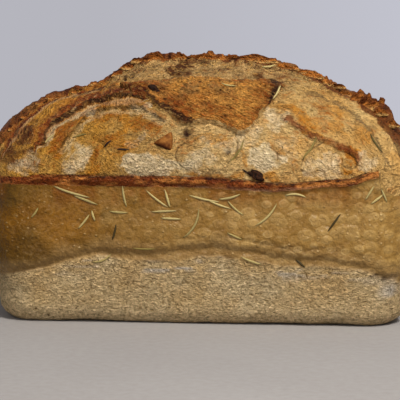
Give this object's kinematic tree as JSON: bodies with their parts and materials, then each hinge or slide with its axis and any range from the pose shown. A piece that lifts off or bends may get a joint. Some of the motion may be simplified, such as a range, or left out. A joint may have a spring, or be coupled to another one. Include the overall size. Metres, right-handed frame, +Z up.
{
  "type": "rosemary garlic sourdough tin loaf",
  "caption": "Long tin loaf of sourdough with a torn ledge along one side, a domed pale burst above it, rosemary needles baked on and a wedge of roasted garlic.",
  "frame": {"origin": "centre of the bounding box on the plane the loaf rests on", "axes": "+X along the loaf, from the picture's left to its right; -Y is the torn long side that faces the camera; +Z up"},
  "size_m": [0.232, 0.1274, 0.1452],
  "materials": {
    "crust": "baked crust, satin on the upper wall and matte below",
    "roasted_garlic": "roasted, slightly glossy"
  },
  "bodies": {
    "root": {"loaf": "crust", "garlic_wedge": "roasted_garlic"}
  },
  "joints": []
}
